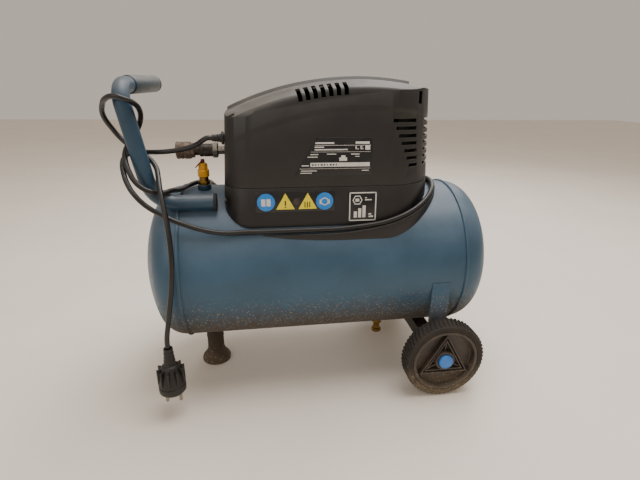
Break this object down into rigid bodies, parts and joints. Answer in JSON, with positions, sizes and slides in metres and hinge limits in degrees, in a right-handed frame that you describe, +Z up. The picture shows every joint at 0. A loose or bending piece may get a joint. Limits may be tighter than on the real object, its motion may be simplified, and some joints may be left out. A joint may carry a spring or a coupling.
{
  "type": "air compressor",
  "caption": "Wheeled direct-drive air compressor with a lying tank, shrouded pump and motor, bar handle, safety valve, quick coupler and mains cord with plug.",
  "frame": {"origin": "on the floor, below the middle of the object's box without its cord", "axes": "+X along the tank towards the wheels, +Y from the shown side towards the far side, +Z up"},
  "size_m": [0.5703, 0.3124, 0.476],
  "materials": {
    "tank_blue": "semi-gloss",
    "plastic_black": "matte",
    "rubber_black": "matte",
    "tyre_black": "matte",
    "steel": "satin",
    "black_steel": "satin",
    "brass": "satin",
    "yellow_plastic": "semi-gloss",
    "red_plastic": "semi-gloss",
    "blue_plastic": "gloss",
    "grip_grey": "matte",
    "label": "satin",
    "aluminium": "cast",
    "copper": "satin",
    "white_plastic": "semi-gloss",
    "dial": "gloss"
  },
  "bodies": {
    "tank": {"tank_barrel": "tank_blue", "tank_head_left": "tank_blue", "tank_head_right": "tank_blue", "weld_beads": "tank_blue", "foot_socket": "tank_blue", "rubber_foot": "rubber_black", "foot_stud": "steel", "strap_near": "tank_blue", "strap_far": "tank_blue", "axle_beam": "black_steel", "axle_rod": "steel", "axle_spacers": "steel", "drain_boss": "black_steel", "drain_body": "brass", "valve_boss": "tank_blue", "valve_body": "brass", "valve_cap": "yellow_plastic", "handle_tube": "tank_blue", "handle_cap": "plastic_black", "grip_sleeve": "grip_grey", "grip_end": "plastic_black", "platform": "tank_blue", "rubber_mounts": "rubber_black", "shroud_base": "plastic_black", "shroud_body": "plastic_black", "shroud_cover": "plastic_black", "rating_plate": "label", "notice_strip": "label", "noise_plate": "label", "cover_screws": "steel", "motor_stator": "aluminium", "crankcase": "aluminium", "cylinder": "aluminium", "cylinder_head": "aluminium", "intake_filter": "plastic_black", "discharge_pipe": "copper", "capacitor": "white_plastic", "manifold": "aluminium", "coupler_body": "steel", "gauge_body": "dial", "cord_gland": "plastic_black", "mains_cord": "rubber_black", "plug_body": "rubber_black", "plug_pins": "steel"},
    "wheel_near": {"tyre_near": "tyre_black", "rim_near": "plastic_black", "cap_near": "blue_plastic"},
    "wheel_far": {"tyre_far": "tyre_black", "rim_far": "plastic_black", "cap_far": "blue_plastic"},
    "rotor": {"motor_shaft": "steel", "crank": "steel", "fan": "plastic_black"},
    "piston": {"piston": "aluminium"},
    "drain_knob": {"drain_knob": "brass"},
    "relief_ring": {"valve_ring": "red_plastic"},
    "coupler_sleeve": {"coupler_sleeve": "steel"},
    "regulator_knob": {"regulator_knob": "plastic_black"},
    "switch_knob": {"switch_knob": "red_plastic"},
    "needle": {"gauge_needle": "red_plastic"}
  },
  "joints": [
    {"name": "near_wheel_spin", "type": "hinge", "parent": "tank", "child": "wheel_near", "pos_m": [0.18194, -0.1375, 0.0635], "axis": [0, 1, 0], "continuous": true},
    {"name": "far_wheel_spin", "type": "hinge", "parent": "tank", "child": "wheel_far", "pos_m": [0.18194, 0.1375, 0.0635], "axis": [0, 1, 0], "continuous": true},
    {"name": "shaft_spin", "type": "hinge", "parent": "tank", "child": "rotor", "pos_m": [0.00294, 0, 0.368], "axis": [1, 0, 0], "continuous": true},
    {"name": "piston_stroke", "type": "slide", "parent": "tank", "child": "piston", "axis": [0, 0, 1], "range_m": [0, 0.018]},
    {"name": "drain_turn", "type": "hinge", "parent": "tank", "child": "drain_knob", "pos_m": [0.11494, 0, 0.04], "axis": [0, 0, 1], "range_deg": [0, 180]},
    {"name": "relief_pull", "type": "slide", "parent": "tank", "child": "relief_ring", "axis": [0, 0, 1], "range_m": [0, 0.003], "stiffness_N_per_m": 800, "springref_m": -0.002},
    {"name": "sleeve_pull", "type": "slide", "parent": "tank", "child": "coupler_sleeve", "axis": [1, 0, 0], "range_m": [0, 0.005], "stiffness_N_per_m": 1500, "springref_m": -0.003},
    {"name": "regulator_turn", "type": "hinge", "parent": "tank", "child": "regulator_knob", "pos_m": [-0.10506, 0.09, 0.383], "axis": [0, 1, 0], "range_deg": [0, 300]},
    {"name": "switch_turn", "type": "hinge", "parent": "tank", "child": "switch_knob", "pos_m": [0.01894, 0.09, 0.383], "axis": [0, 1, 0], "range_deg": [0, 90]},
    {"name": "needle_swing", "type": "hinge", "parent": "tank", "child": "needle", "pos_m": [-0.04106, 0.09, 0.383], "axis": [0, 1, 0], "range_deg": [0, 270], "stiffness_Nm_per_rad": 0.002, "springref_deg": -5.73}
  ]
}
